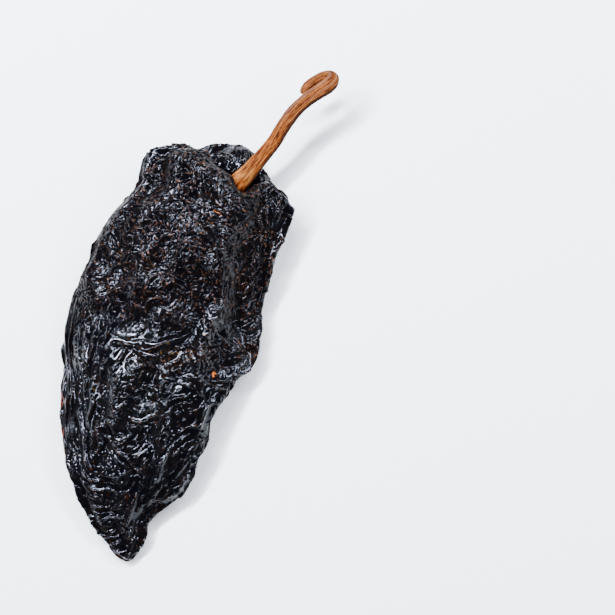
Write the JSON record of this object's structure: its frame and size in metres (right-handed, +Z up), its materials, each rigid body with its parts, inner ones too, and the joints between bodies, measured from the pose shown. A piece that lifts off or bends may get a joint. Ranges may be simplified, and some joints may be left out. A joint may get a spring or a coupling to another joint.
{
  "type": "ancho chili",
  "caption": "Whole dried ancho chili: a flattened, deeply wrinkled, near-black pod with rounded shoulders, a blunt tip and a brown curled woody stem.",
  "frame": {"origin": "under the middle of the whole chili's box, on the surface that the chili lies on", "axes": "+Y along the pod from its tip to its stem, +Z up from the surface, +X to the right when the chili is seen from above with its stem up"},
  "size_m": [0.0592, 0.1494, 0.0208],
  "materials": {
    "skin": "near-black brown wrinkled skin, glossy on its ridges and dusty in its upper half",
    "stem": "matt tan-brown dry stem with fine lengthwise fibres"
  },
  "bodies": {
    "root": {"pod": "skin", "stem": "stem"}
  },
  "joints": []
}
